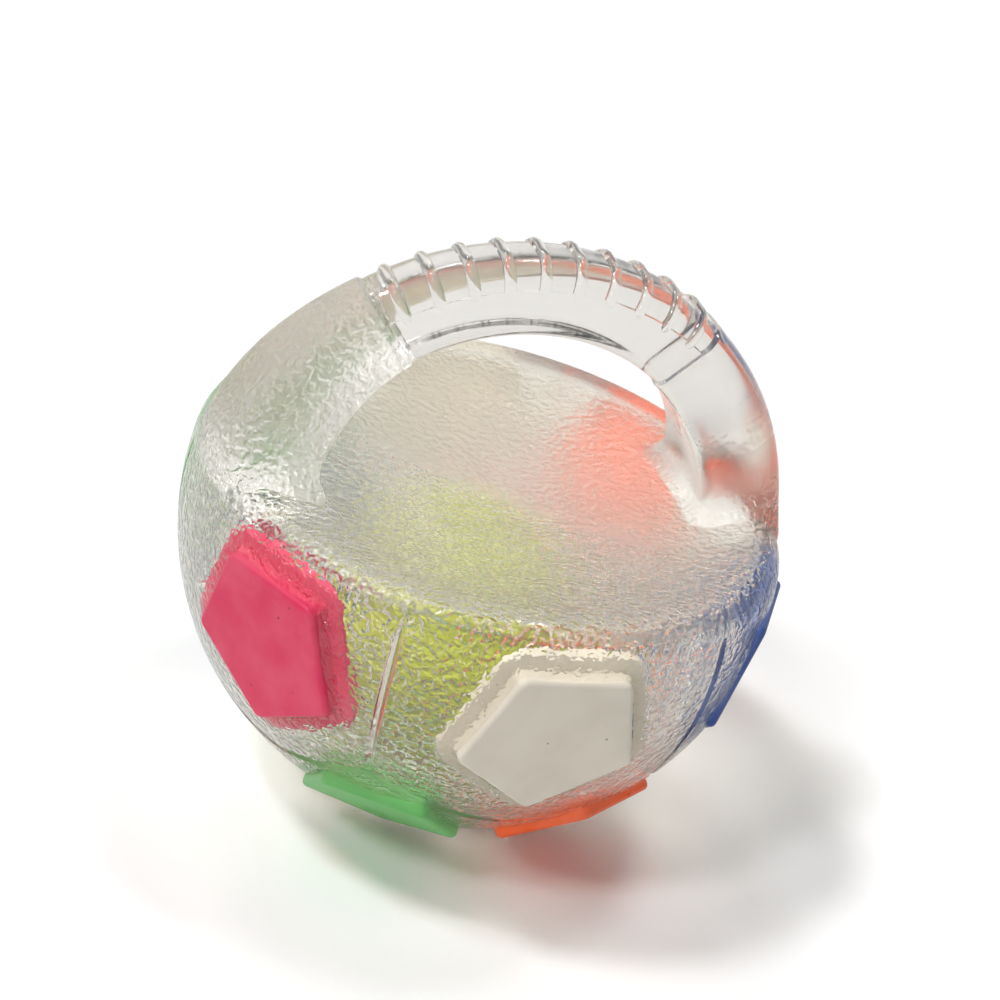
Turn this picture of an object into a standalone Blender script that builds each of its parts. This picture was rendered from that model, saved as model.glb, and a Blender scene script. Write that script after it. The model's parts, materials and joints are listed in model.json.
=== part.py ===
"""Dog soccer ball: clear bowl and handled lid, pentagon plugs, loose tennis ball inside. Metres, +Z up."""

import math

import bmesh
import bpy
from mathutils import Matrix, Vector

# Shell
BALL_R = 0.075
WALL = 0.0065
JOINT_HEIGHT = 0.0132
JOINT_DEPTH = 0.0016
LIP = 0.0030
SKIRT_CLEAR = 0.0012
GAP = 0.0003

# Dish and rim on top of the lid
DISH_DROP = 0.0032
DISH_WALL = 0.0045
RIM_R = 0.0045
RIM_RISE = 0.0007

# Arched handle
HANDLE_THICK = 0.0200
HANDLE_RISE = 0.0025
HANDLE_INNER_RISE = 0.0030
HANDLE_SINK = 0.0002
GRIP_HALF_WIDTH = 0.0090
GRIP_HALF_ANGLE = math.radians(36)
GRIP_STEP = 0.0005
FOOT_HALF_WIDTH = 0.0185
FOOT_SPLAY = 1.3
FOOT_SINK = 0.0024
FOOT_FILLET = 0.0030
FILLET_SHARE = 0.3
HANDLE_OUTER_ROUND = 0.0042
HANDLE_INNER_ROUND = 0.0034
RIB_COUNT = 10
RIB_PITCH = math.radians(6.9)
RIB_R = 0.0016
RIB_OVERHANG = 0.0005

# Pentagon plugs
FACE_HEIGHT = BALL_R
BELT_FACE_SINK = 0.0015
FLANGE_DEPTH = 0.0064
FLANGE_THICK = 0.0030
BELT_PLUG_R = 0.0230
BELT_FLANGE = 0.0034
LOW_PLUG_R = 0.0215
LOW_FLANGE = 0.0012
CORNER_R = 0.0026
FACE_ROUND = 0.0013
DRAFT = 0.0003
BELT_PITCH = math.radians(58.5)
ORANGE_TURN = math.radians(123.5)
GREEN_TURN = math.radians(-143)
BELT_CLEAR = 0.00145
ROW_CLEAR = 0.0005
LOW_PAIR_CLEAR = 0.0009

# Panel grooves
GROOVE_HALF_WIDTH = 0.0013
GROOVE_DEPTH = 0.0013
GROOVE_TOP_BELOW = math.radians(4.6)
GROOVE_NODE_BELOW = math.radians(21.5)
GROOVE_DIP_BELOW = math.radians(27)

# Tennis ball
TENNIS_R = 0.0320
FELT = 0.0020
CORE_WALL = 0.0035
SEAM_HALF_WIDTH = 0.0016
SEAM_SINK = 0.0008
SEAM_BEND = 0.263

STEPS = 48
CORE_STEPS = 20
LIFT = Vector((0, 0, FACE_HEIGHT))
DISH_CENTRE = JOINT_HEIGHT - DISH_DROP
INNER_R = BALL_R - WALL
HANDLE_INNER_R = BALL_R + HANDLE_RISE - HANDLE_INNER_RISE - HANDLE_THICK
FLANGE_HEIGHT = FACE_HEIGHT - FLANGE_DEPTH
PLUG_INNER = FLANGE_HEIGHT - FLANGE_THICK
TENNIS_DROP = PLUG_INNER - TENNIS_R - GAP
RIM_HEIGHT = JOINT_HEIGHT + GAP + RIM_RISE
RIM_TILT = math.asin(RIM_HEIGHT / BALL_R)
RIM_CENTRE = ((BALL_R - RIM_R) * math.cos(RIM_TILT), (BALL_R - RIM_R) * math.sin(RIM_TILT))

# The dish is an arc that runs tangent into the rim's roll
rim_rise = RIM_CENTRE[1] - DISH_CENTRE
DISH_R = (RIM_CENTRE[0] ** 2 + rim_rise**2 - RIM_R**2) / (2 * (RIM_R + rim_rise))
DISH_TILT = math.asin(RIM_CENTRE[0] / (DISH_R + RIM_R))


def grown(radius, by):
    """The corner radius of a pentagon whose sides have moved out."""
    return radius + by / math.cos(math.pi / 5)


def side_of(radius):
    return radius * math.cos(math.pi / 5)


# The belt lies as high as the lid's tongue allows, and the lower plugs close under it
belt_wide = grown(BELT_PLUG_R, BELT_FLANGE)
low_wide = grown(LOW_PLUG_R, LOW_FLANGE)
belt_top = JOINT_HEIGHT - JOINT_DEPTH - BELT_CLEAR
belt_reach = math.hypot(FLANGE_HEIGHT, side_of(belt_wide))
BELT_LATITUDE = math.asin(belt_top / belt_reach) - math.atan(side_of(belt_wide) / FLANGE_HEIGHT)
row_step = math.atan(belt_wide / PLUG_INNER) + math.atan(side_of(low_wide) / PLUG_INNER)
LOW_LATITUDE = BELT_LATITUDE - row_step - ROW_CLEAR / PLUG_INNER
low_corner = math.radians(18)
low_half = low_wide * math.cos(low_corner) + LOW_PAIR_CLEAR
low_lean = low_wide * math.sin(low_corner) * math.sin(LOW_LATITUDE)
LOW_AZIMUTH = math.atan(low_half / (PLUG_INNER * math.cos(LOW_LATITUDE) + low_lean))
GROOVE_TOP = math.asin(JOINT_HEIGHT / BALL_R) - GROOVE_TOP_BELOW
GROOVE_NODE = BELT_LATITUDE - GROOVE_NODE_BELOW
GROOVE_DIP = BELT_LATITUDE - GROOVE_DIP_BELOW

for old in list(bpy.data.objects):
    bpy.data.objects.remove(old)

parts = bpy.data.collections.new("dog_soccer_ball")
bpy.context.scene.collection.children.link(parts)
cutters = bpy.data.collections.new("cutters")
cutters.hide_render = True
bpy.context.scene.collection.children.link(cutters)


def material(name, colour, rough, clear=0.0):
    made = bpy.data.materials.new(name)
    made.use_nodes = True
    shader = made.node_tree.nodes["Principled BSDF"]
    shader.inputs["Base Color"].default_value = (*colour, 1)
    shader.inputs["Roughness"].default_value = rough
    shader.inputs["Transmission Weight"].default_value = clear
    return made


def add(name, mesh, look=None, place=None):
    """A part when it has a look, and otherwise a helper shape for Booleans."""
    made = bpy.data.objects.new(name, mesh)
    made.matrix_world = place or Matrix.Translation(LIFT)
    if look:
        mesh.materials.append(look)
        parts.objects.link(made)
    else:
        made.hide_render = True
        made.display_type = "WIRE"
        cutters.objects.link(made)
    return made


def lathe(name, profile, steps, look, place=None):
    """A turned solid from (radius, height) points that run down its outer side."""
    mesh = bpy.data.meshes.new(name)
    edges = [(i, i + 1) for i in range(len(profile) - 1)]
    mesh.from_pydata([(r, 0, z) for r, z in profile], edges, [])
    made = add(name, mesh, look, place)
    turn = made.modifiers.new("turn", "SCREW")
    turn.axis = "Z"
    turn.steps = turn.render_steps = steps
    turn.use_merge_vertices = True
    turn.merge_threshold = 1e-5
    turn.use_normal_calculate = True
    turn.use_smooth_shade = True
    return made


def combine(target, other, operation):
    step = target.modifiers.new(other.name, "BOOLEAN")
    step.operation = operation
    step.solver = "EXACT"
    step.object = other


def loft(bm, loops, closed=False):
    """Skins matching loops of points in order, with flat ends unless the last loop meets the first."""
    rings = [[bm.verts.new(p) for p in loop] for loop in loops]
    pairs = list(zip(rings, rings[1:] + rings[:1]))
    for a, b in pairs if closed else pairs[:-1]:
        for i in range(len(a)):
            j = (i + 1) % len(a)
            bm.faces.new((a[i], a[j], b[j], b[i]))
    if not closed:
        bm.faces.new(rings[0][::-1])
        bm.faces.new(rings[-1])


def mesh_of(name, bm, smooth=True):
    bmesh.ops.recalc_face_normals(bm, faces=bm.faces)
    for face in bm.faces:
        face.smooth = smooth
    mesh = bpy.data.meshes.new(name)
    bm.to_mesh(mesh)
    bm.free()
    return mesh


def on_ball(azimuth, latitude, radius=1.0):
    """A point on the ball: azimuth 0 is the front, growing to the right."""
    flat = math.cos(latitude)
    point = (math.sin(azimuth) * flat, -math.cos(azimuth) * flat, math.sin(latitude))
    return radius * Vector(point)


def facing(azimuth, latitude):
    """Turns local +Z outwards on the ball, with local +Y towards the rim."""
    out = on_ball(azimuth, latitude)
    east = Vector((math.cos(azimuth), math.sin(azimuth), 0))
    return Matrix.Translation(LIFT) @ Matrix((east, out.cross(east), out)).transposed().to_4x4()


def arc(centre, radius, start, end, count):
    """Points on a circle, from one angle to another, as (radius, height) pairs."""
    turns = [start + (end - start) * i / count for i in range(count + 1)]
    return [(centre[0] + radius * math.cos(a), centre[1] + radius * math.sin(a)) for a in turns]


# Clear bowl: a turned shell with a rebate round its mouth for the lid's tongue
def bowl_profile():
    mouth = math.asin(JOINT_HEIGHT / BALL_R)
    rebate = JOINT_HEIGHT - JOINT_DEPTH
    lip_inner = BALL_R * math.cos(mouth) - LIP
    inside = arc((0, 0), INNER_R, -math.pi / 2, math.asin(rebate / INNER_R), 9)
    outside = arc((0, 0), BALL_R, mouth, -math.pi / 2, 15)
    inside[0] = (0, -INNER_R)
    outside[-1] = (0, -BALL_R)
    return inside + [(lip_inner, rebate), (lip_inner, JOINT_HEIGHT)] + outside


clear_bowl = material("clear_bowl", (0.85, 0.83, 0.79), 0.25, 0.9)
bowl = lathe("clear_bowl", bowl_profile(), STEPS, clear_bowl)


# Lid: rolled rim, shallow dish and a tongue that drops into the bowl's rebate
def dish_height(radius):
    return DISH_CENTRE + DISH_R - math.sqrt(DISH_R**2 - radius**2)


def lid_profile():
    ledge = JOINT_HEIGHT + GAP
    mouth = math.asin(JOINT_HEIGHT / BALL_R)
    tongue_outer = BALL_R * math.cos(mouth) - LIP - GAP
    rebate = JOINT_HEIGHT - JOINT_DEPTH
    tongue_inner = math.sqrt(INNER_R**2 - rebate**2) - SKIRT_CLEAR
    tongue_end = rebate + GAP
    level = -math.pi / 2
    top = arc((0, DISH_CENTRE + DISH_R), DISH_R, level, level + DISH_TILT, 6)
    top[0] = (0, DISH_CENTRE)
    rim = arc(RIM_CENTRE, RIM_R, DISH_TILT - level, RIM_TILT, 6)[1:]
    under = [(r, z - DISH_WALL) for r, z in top if r < tongue_inner - DISH_WALL / 3]
    skirt = [(BALL_R * math.cos(math.asin(ledge / BALL_R)), ledge), (tongue_outer, ledge)]
    tongue = [(tongue_outer, tongue_end), (tongue_inner, tongue_end)]
    throat_r = DISH_WALL / 2
    throat_centre = (tongue_inner - throat_r, under[-1][1] - throat_r)
    throat = arc(throat_centre, throat_r, 0, math.pi / 2, 3)
    return top + rim + skirt + tongue + throat + under[-2::-1]


clear_lid = material("clear_lid", (0.86, 0.84, 0.80), 0.22, 0.9)
lid = lathe("clear_lid_with_handle", lid_profile(), STEPS, clear_lid)


# Handle: an arch a little outside the ball's outline, narrow at the grip, splayed and filleted at both feet
FOOT_ANGLE = math.acos(RIM_HEIGHT / BALL_R)
FOOT_INNER_ANGLE = math.acos((dish_height(HANDLE_INNER_R) - FOOT_SINK) / HANDLE_INNER_R)


def handle_section(turn):
    share = abs(turn) / FOOT_ANGLE
    grip = abs(turn) < GRIP_HALF_ANGLE
    splay = max(0, (abs(turn) - GRIP_HALF_ANGLE) / (FOOT_ANGLE - GRIP_HALF_ANGLE))
    flare = max(0, 1 - (1 - splay) / FILLET_SHARE) ** 2
    step = GRIP_STEP if grip else 0
    half = GRIP_HALF_WIDTH + GRIP_STEP - step
    half += (FOOT_HALF_WIDTH - half) * splay**FOOT_SPLAY + FOOT_FILLET * flare
    outer = BALL_R - HANDLE_SINK + HANDLE_RISE * (1 - splay**3) - step
    inner_turn = math.copysign(share * FOOT_INNER_ANGLE, turn)
    reach = math.sqrt(HANDLE_INNER_R**2 - (HANDLE_INNER_RISE * math.sin(inner_turn)) ** 2)
    inner = HANDLE_INNER_RISE * math.cos(inner_turn) + reach + step - FOOT_FILLET * flare
    width = half - HANDLE_OUTER_ROUND
    below = half - HANDLE_INNER_ROUND
    quarter = math.pi / 2
    corners = arc((width, outer - HANDLE_OUTER_ROUND), HANDLE_OUTER_ROUND, quarter, 0, 3)
    corners += arc((below, inner + HANDLE_INNER_ROUND), HANDLE_INNER_ROUND, 0, -quarter, 3)
    flat = [(width * i / 2, outer) for i in range(2)]
    base = [(below / 2, inner)]
    half_loop = flat + corners + base
    loop = half_loop + [(0, inner)] + [(-y, r) for y, r in half_loop[:0:-1]]
    inward = Vector((math.sin(inner_turn), 0, math.cos(inner_turn)))
    outward = Vector((math.sin(turn), 0, math.cos(turn)))
    points = []
    for y, r in loop:
        ray = inward.lerp(outward, (r - inner) / (outer - inner)).normalized()
        points.append(ray * math.sqrt(r * r - y * y) + Vector((0, y, 0)))
    return points


def handle_turns():
    edge = math.radians(0.4)
    inside = [GRIP_HALF_ANGLE * i / 7 for i in range(7)] + [GRIP_HALF_ANGLE - edge]
    outside = [GRIP_HALF_ANGLE + (FOOT_ANGLE - GRIP_HALF_ANGLE) * i / 6 for i in range(7)]
    half = inside + outside
    return [-a for a in half[:0:-1]] + half


bm = bmesh.new()
loft(bm, [handle_section(turn) for turn in handle_turns()])
handle = add("handle_arch", mesh_of("handle_arch", bm))
combine(lid, handle, "UNION")

# Ribs across the back of the grip
bm = bmesh.new()
rib_height = BALL_R - HANDLE_SINK + HANDLE_RISE - GRIP_STEP
rib_length = 2 * (GRIP_HALF_WIDTH + RIB_OVERHANG) - HANDLE_OUTER_ROUND
for i in range(RIB_COUNT):
    turn = (i - (RIB_COUNT - 1) / 2) * RIB_PITCH
    seat = Matrix.Rotation(turn, 4, "Y") @ Matrix.Translation((0, 0, rib_height - RIB_R * 0.25))
    across = seat @ Matrix.Rotation(math.pi / 2, 4, "X")
    bmesh.ops.create_cone(
        bm, cap_ends=True, segments=10, radius1=RIB_R, radius2=RIB_R, depth=rib_length, matrix=across
    )
ribs = add("grip_ribs", mesh_of("grip_ribs", bm))
combine(lid, ribs, "UNION")


# Plugs: a raised pentagon on a wider flange that lies behind the clear skin
def pentagon(radius, corner, height, segments=2):
    """A pentagon with one corner down and rounded corners."""
    points = []
    for i in range(5):
        middle = math.radians(72 * i - 90)
        pull = radius - corner / math.cos(math.pi / 5)
        for k in range(segments + 1):
            a = middle + math.radians(36) * (2 * k / segments - 1)
            x = pull * math.cos(middle) + corner * math.cos(a)
            y = pull * math.sin(middle) + corner * math.sin(a)
            points.append((x, y, height))
    return points


def plug_mesh(name, radius, flange, face):
    edge = FLANGE_THICK / 4
    wide = grown(radius, flange)
    soft = CORNER_R + flange
    loops = [
        pentagon(wide, soft, PLUG_INNER),
        pentagon(wide, soft, FLANGE_HEIGHT - edge),
        pentagon(grown(wide, -edge), soft - edge, FLANGE_HEIGHT),
        pentagon(radius, CORNER_R, FLANGE_HEIGHT),
    ]
    for k in range(3):
        a = math.radians(45 * k)
        inset = DRAFT + FACE_ROUND * (1 - math.cos(a))
        height = face - FACE_ROUND * (1 - math.sin(a))
        loops.append(pentagon(grown(radius, -inset), CORNER_R - inset, height))
    bm = bmesh.new()
    loft(bm, loops)
    return mesh_of(name, bm)


def plug_window(bm, radius, flange, place):
    """The stepped hole that a plug is pushed into from inside."""
    wide = grown(radius, flange + GAP)
    soft = CORNER_R + flange + GAP
    narrow = grown(radius, GAP)
    inside = math.sqrt(INNER_R**2 - wide**2) - GAP
    loops = [
        pentagon(wide, soft, inside),
        pentagon(wide, soft, FLANGE_HEIGHT + GAP),
        pentagon(narrow, CORNER_R + GAP, FLANGE_HEIGHT + GAP),
        pentagon(narrow, CORNER_R + GAP, FACE_HEIGHT + WALL),
    ]
    to_bowl = Matrix.Translation(-LIFT) @ place
    loft(bm, [[to_bowl @ Vector(p) for p in loop] for loop in loops])


half_turn = math.pi
belt = {
    "plug_belt_front_white": (0, (0.75, 0.72, 0.66)),
    "plug_belt_front_left_pink": (-BELT_PITCH, (0.72, 0.05, 0.16)),
    "plug_belt_front_right_blue": (BELT_PITCH, (0.02, 0.07, 0.30)),
    "plug_belt_back_left_green": (GREEN_TURN, (0.14, 0.50, 0.15)),
    "plug_belt_back_right_orange": (ORANGE_TURN, (0.85, 0.13, 0.03)),
    "plug_belt_back_white": (half_turn + (ORANGE_TURN + GREEN_TURN) / 2, (0.75, 0.72, 0.66)),
}
low = {
    "plug_low_front_left_green": (-LOW_AZIMUTH, (0.14, 0.50, 0.15)),
    "plug_low_front_right_orange": (LOW_AZIMUTH, (0.85, 0.13, 0.03)),
    "plug_low_back_left_blue": (LOW_AZIMUTH - half_turn, (0.02, 0.07, 0.30)),
    "plug_low_back_right_pink": (half_turn - LOW_AZIMUTH, (0.72, 0.05, 0.16)),
}
bottom = {"plug_bottom_white": (0, (0.75, 0.72, 0.66))}

windows = bmesh.new()
rows = (
    (belt, BELT_LATITUDE, BELT_PLUG_R, BELT_FLANGE, FACE_HEIGHT - BELT_FACE_SINK),
    (low, LOW_LATITUDE, LOW_PLUG_R, LOW_FLANGE, FACE_HEIGHT),
    (bottom, -math.pi / 2, LOW_PLUG_R, LOW_FLANGE, FACE_HEIGHT),
)
for row, latitude, radius, flange, face in rows:
    for name, (azimuth, colour) in row.items():
        place = facing(azimuth, latitude)
        add(name, plug_mesh(name, radius, flange, face), material(name, colour, 0.4), place)
        plug_window(windows, radius, flange, place)
combine(bowl, add("plug_windows", mesh_of("plug_windows", windows)), "DIFFERENCE")


# Panel grooves: a zigzag round the ball under the belt, and one groove up between each pair of belt plugs
def groove_loop(point, along):
    out = point.normalized()
    side = along.cross(out).normalized() * GROOVE_HALF_WIDTH
    over = GROOVE_DEPTH / 2
    spread = 1 + over / GROOVE_DEPTH
    crest = point + out * over
    return [crest - side * spread, crest + side * spread, point - out * GROOVE_DEPTH]


def groove(bm, points, closed=False):
    loops = []
    for i, point in enumerate(points):
        before = points[i - 1] if i or closed else point
        after = points[(i + 1) % len(points)] if i < len(points) - 1 or closed else point
        loops.append(groove_loop(point, after - before))
    loft(bm, loops, closed)


def between(a, b, count):
    return [a.lerp(b, i / count).normalized() * BALL_R for i in range(count)]


plug_turns = sorted(azimuth for azimuth, _ in belt.values())
next_turns = plug_turns[1:] + [plug_turns[0] + 2 * half_turn]
seams = [(a + b) / 2 for a, b in zip(plug_turns, next_turns)]
corners = [(a, GROOVE_NODE) for a in seams] + [(a, GROOVE_DIP) for a in plug_turns]
corners = [on_ball(azimuth, latitude) for azimuth, latitude in sorted(corners)]
ring = [p for a, b in zip(corners, corners[1:] + corners[:1]) for p in between(a, b, 3)]
bm = bmesh.new()
groove(bm, ring, closed=True)
combine(bowl, add("groove_zigzag", mesh_of("groove_zigzag", bm)), "DIFFERENCE")

bm = bmesh.new()
for azimuth in seams:
    rise = [GROOVE_NODE + (GROOVE_TOP - GROOVE_NODE) * i / 6 for i in range(7)]
    groove(bm, [on_ball(azimuth, latitude, BALL_R) for latitude in rise])
combine(bowl, add("groove_uprights", mesh_of("groove_uprights", bm)), "DIFFERENCE")

# Tennis ball: it hangs from a pivot at the middle of the shell, where its rolling path is centred
pivot = bpy.data.objects.new("tennis_ball_pivot", None)
pivot.location = LIFT
parts.objects.link(pivot)
tennis_place = Matrix.Translation((0, 0, -TENNIS_DROP))
CORE_R = TENNIS_R - FELT - 2 * GAP


def ride(made):
    made.parent = pivot
    made.matrix_basis = tennis_place
    return made


def core_profile(sign):
    outer = arc((0, 0), CORE_R, math.radians(0.3), math.pi / 2, 7)
    inner = arc((0, 0), CORE_R - CORE_WALL, math.pi / 2, math.radians(0.3), 5)
    outer[-1] = (0, CORE_R)
    inner[0] = (0, CORE_R - CORE_WALL)
    loop = [(r, sign * z) for r, z in inner + outer]
    return loop if sign < 0 else loop[::-1]


for name, sign in (("tennis_core_upper", 1), ("tennis_core_lower", -1)):
    ride(lathe(name, core_profile(sign), CORE_STEPS, material(name, (0.05, 0.05, 0.05), 0.7)))


# The seam's path, by its angle round the long axis of a felt panel
def seam_point(turn):
    a = 1 + math.cos(turn) ** 2
    b = SEAM_BEND * math.sin(turn)
    flat = (math.sqrt(b * b + 4 * a) - b) / (2 * a)
    flat = min(flat, 1.0)
    return Vector((math.sqrt(1 - flat * flat), flat * math.cos(turn), flat * math.sin(turn)))


def half_seam(count):
    """One side of a panel, from the tip of one lobe to the other."""
    low_end = (math.sqrt(SEAM_BEND**2 + 4) - SEAM_BEND) / 2
    first = -math.asin(low_end)
    last = math.pi - first
    shares = [0.5 - 0.5 * math.cos(math.pi * i / 400) for i in range(401)]
    fine = [seam_point(first + (last - first) * s) for s in shares]
    run = [0.0]
    for a, b in zip(fine, fine[1:]):
        run.append(run[-1] + (b - a).length)
    even = []
    for i in range(count + 1):
        k = min(range(len(run)), key=lambda k: abs(run[k] - run[-1] * i / count))
        even.append(fine[k])
    return even


def mirrored(p):
    return Vector((-p.x, p.y, p.z))


def seam_loop(count):
    side = half_seam(count)
    return side + [mirrored(p) for p in side[-2:0:-1]]


def inset_loop(loop, by):
    """The loop moved sideways on the ball, towards the panel when positive."""
    moved = []
    for i, p in enumerate(loop):
        along = loop[(i + 1) % len(loop)] - loop[i - 1]
        moved.append((p + along.cross(p).normalized() * by).normalized())
    return moved


SEAM_COUNT = 32
path = seam_loop(SEAM_COUNT)
if inset_loop(path, 0.01)[SEAM_COUNT // 2].x > path[SEAM_COUNT // 2].x:
    path = path[::-1]


def felt_panel(name):
    edge = inset_loop(path, (SEAM_HALF_WIDTH + GAP) / TENNIS_R)
    tip = max(range(len(edge)), key=lambda i: (abs(edge[i].x) < 1e-4, edge[i].y))
    edge = edge[tip:] + edge[:tip]
    count = len(edge) // 2
    bm = bmesh.new()
    grids = []
    for radius in (TENNIS_R, TENNIS_R - FELT):
        rows = [[bm.verts.new(edge[0] * radius)]]
        for i in range(1, count):
            a, b = edge[i], edge[-i]
            line = [a.slerp(b, k / 5) for k in range(6)]
            rows.append([bm.verts.new(p * radius) for p in line])
        rows.append([bm.verts.new(edge[count] * radius)])
        grids.append(rows)
    for rows in grids:
        for a, b in zip(rows, rows[1:]):
            for k in range(max(len(a), len(b)) - 1):
                quad = [a[min(k, len(a) - 1)], a[min(k + 1, len(a) - 1)]]
                quad += [b[min(k + 1, len(b) - 1)], b[min(k, len(b) - 1)]]
                bm.faces.new(dict.fromkeys(quad))
    top, under = grids
    for a, b, c, d in zip(top, top[1:], under, under[1:]):
        bm.faces.new((a[0], b[0], d[0], c[0]))
        bm.faces.new((b[-1], a[-1], c[-1], d[-1]))
    return mesh_of(name, bm)


felt = (0.55, 0.62, 0.08)
ride(add("tennis_felt_a", felt_panel("tennis_felt_a"), material("tennis_felt_a", felt, 0.95)))
other = felt_panel("tennis_felt_b")
other.transform(Matrix.Rotation(math.pi / 2, 4, "Z") @ Matrix.Rotation(math.pi, 4, "X"))
ride(add("tennis_felt_b", other, material("tennis_felt_b", felt, 0.95)))

bm = bmesh.new()
left = inset_loop(path, SEAM_HALF_WIDTH / TENNIS_R)
right = inset_loop(path, -SEAM_HALF_WIDTH / TENNIS_R)
seam_top = TENNIS_R - SEAM_SINK
seam_under = TENNIS_R - FELT
sections = [
    [a * seam_under, a * seam_top, p * (seam_top + GAP), b * seam_top, b * seam_under]
    for a, p, b in zip(left, path, right)
]
loft(bm, sections, closed=True)
ride(add("tennis_seam", mesh_of("tennis_seam", bm), material("tennis_seam", (0.8, 0.8, 0.74), 0.8)))
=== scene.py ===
"""Looks of the dog soccer ball: a clear grained shell with pentagon plugs and a tennis ball inside."""

import json
import math

import bmesh
import bpy
from mathutils import Matrix, Vector, noise


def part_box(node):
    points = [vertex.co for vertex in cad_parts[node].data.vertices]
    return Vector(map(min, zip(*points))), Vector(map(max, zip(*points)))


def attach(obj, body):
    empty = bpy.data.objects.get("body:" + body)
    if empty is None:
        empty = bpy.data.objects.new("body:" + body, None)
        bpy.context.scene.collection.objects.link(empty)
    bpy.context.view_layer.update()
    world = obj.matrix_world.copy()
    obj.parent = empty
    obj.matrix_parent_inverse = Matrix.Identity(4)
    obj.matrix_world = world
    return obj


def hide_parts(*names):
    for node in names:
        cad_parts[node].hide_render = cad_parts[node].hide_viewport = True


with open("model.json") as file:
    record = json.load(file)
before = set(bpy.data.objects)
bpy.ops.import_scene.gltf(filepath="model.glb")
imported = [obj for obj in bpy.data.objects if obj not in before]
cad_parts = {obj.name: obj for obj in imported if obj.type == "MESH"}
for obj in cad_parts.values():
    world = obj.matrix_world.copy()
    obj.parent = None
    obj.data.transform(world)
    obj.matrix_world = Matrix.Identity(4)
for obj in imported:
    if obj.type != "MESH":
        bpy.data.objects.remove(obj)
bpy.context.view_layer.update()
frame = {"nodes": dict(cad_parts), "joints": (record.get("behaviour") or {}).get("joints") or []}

# Tennis ball core: two moulded black rubber halves, cemented edge to edge.
# The felt covers them all over, so the frame's own halves stay and only take a rubber finish.
BALL_CENTRE = Vector(frame["joints"][0]["pos_m"])
CORE_BLACK = (0.022, 0.022, 0.024, 1)
CORE_BLOOM = (0.050, 0.049, 0.046, 1)
BLOOM_SCALE = 420.0
BLOOM_DEPTH = 0.0002
CORE_ROUGH = 0.62
BLOOM_ROUGH = 0.2


class Finish:
    """One output of a finish's nodes. Sums on it add Math nodes, and node() adds any other kind."""

    def __init__(self, socket):
        self.socket = socket

    def node(self, kind, settings, inputs, output=0):
        tree = self.socket.id_data
        made = tree.nodes.new(kind)
        for name, value in settings.items():
            setattr(made, name, value)
        for name, value in inputs.items():
            if isinstance(value, Finish):
                tree.links.new(value.socket, made.inputs[name])
            else:
                made.inputs[name].default_value = value
        return Finish(made.outputs[output]) if made.outputs else None

    def maths(self, operation, first, second):
        return self.node("ShaderNodeMath", {"operation": operation}, {0: first, 1: second})

    def __add__(self, other):
        return self.maths("ADD", self, other)

    def __radd__(self, other):
        return self.maths("ADD", other, self)

    def __sub__(self, other):
        return self.maths("SUBTRACT", self, other)

    def __rsub__(self, other):
        return self.maths("SUBTRACT", other, self)

    def __mul__(self, other):
        return self.maths("MULTIPLY", self, other)

    def __rmul__(self, other):
        return self.maths("MULTIPLY", other, self)

    def __abs__(self):
        return self.maths("ABSOLUTE", self, 0)

    def part(self, axis):
        return self.node("ShaderNodeSeparateXYZ", {}, {0: self}, axis)

    def length(self):
        return self.node("ShaderNodeVectorMath", {"operation": "LENGTH"}, {0: self}, "Value")

    def between(self, low, high):
        """0 below low, 1 above high and a soft step in between."""
        ends = {"From Min": low, "From Max": high, "Value": self}
        return self.node("ShaderNodeMapRange", {"interpolation_type": "SMOOTHSTEP"}, ends)

    def speckle(self, scale, detail=2.0, roughness=0.5):
        grain = {"Vector": self, "Scale": scale, "Detail": detail, "Roughness": roughness}
        return self.node("ShaderNodeTexNoise", {}, grain)

    def mix(self, low, high):
        """A colour between two, by this value."""
        return self.node("ShaderNodeMix", {"data_type": "RGBA"}, {0: self, 6: low, 7: high}, 2)

    def bump(self, strength, distance):
        return self.node(
            "ShaderNodeBump", {}, {"Height": self, "Strength": strength, "Distance": distance}, "Normal"
        )

    def surface(self):
        self.node("ShaderNodeOutputMaterial", {}, {"Surface": self})


def new_finish(name):
    """An empty material, and its Object coordinates measured from the middle of the ball."""
    made = bpy.data.materials.new(name)
    made.use_nodes = True
    made.node_tree.nodes.clear()
    place = Finish(made.node_tree.nodes.new("ShaderNodeTexCoord").outputs["Object"])
    return made, place.node("ShaderNodeMapping", {}, {"Vector": place, "Location": -BALL_CENTRE})


def core_rubber():
    made, place = new_finish("core_rubber")
    bloom = place.speckle(BLOOM_SCALE, 3.0)
    place.node(
        "ShaderNodeBsdfPrincipled",
        {},
        {
            "Base Color": bloom.mix(CORE_BLACK, CORE_BLOOM),
            "Roughness": CORE_ROUGH + BLOOM_ROUGH * bloom,
            "Normal": bloom.bump(0.4, BLOOM_DEPTH),
        },
    ).surface()
    return made


rubber = core_rubber()
for name in ("tennis_core_upper", "tennis_core_lower"):
    frame["nodes"][name].data.materials.clear()
    frame["nodes"][name].data.materials.append(rubber)

# Tennis ball felt: two dog-bone panels of yellow-green woven felt, cut from sheet, glued to the core.
# Each panel has a soft rounded edge and a raised fuzzy nap.
TENNIS_R = 0.0320
NAP = 0.00028
NAP_SCALE = 900.0
FELT_EDGE = 0.0005
FELT_EDGE_ANGLE = math.radians(50)
FELT_DEEP = (0.28, 0.33, 0.002, 1)
FELT_PALE = (0.50, 0.58, 0.006, 1)
FIBRE_SCALE = 1500.0
FIBRE_DEPTH = 0.0006
PATCH_SCALE = 160.0
FIBRE_SHARE = 0.6
PATCH_SHARE = 0.4
SHADE_ENDS = (0.35, 0.68)
MERGE = 1e-6
JOIN_ANGLE = math.radians(40)
TENNIS_CENTRE = Vector((0, 0, (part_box("tennis_core_lower")[0].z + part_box("tennis_core_upper")[1].z) / 2))


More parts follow.
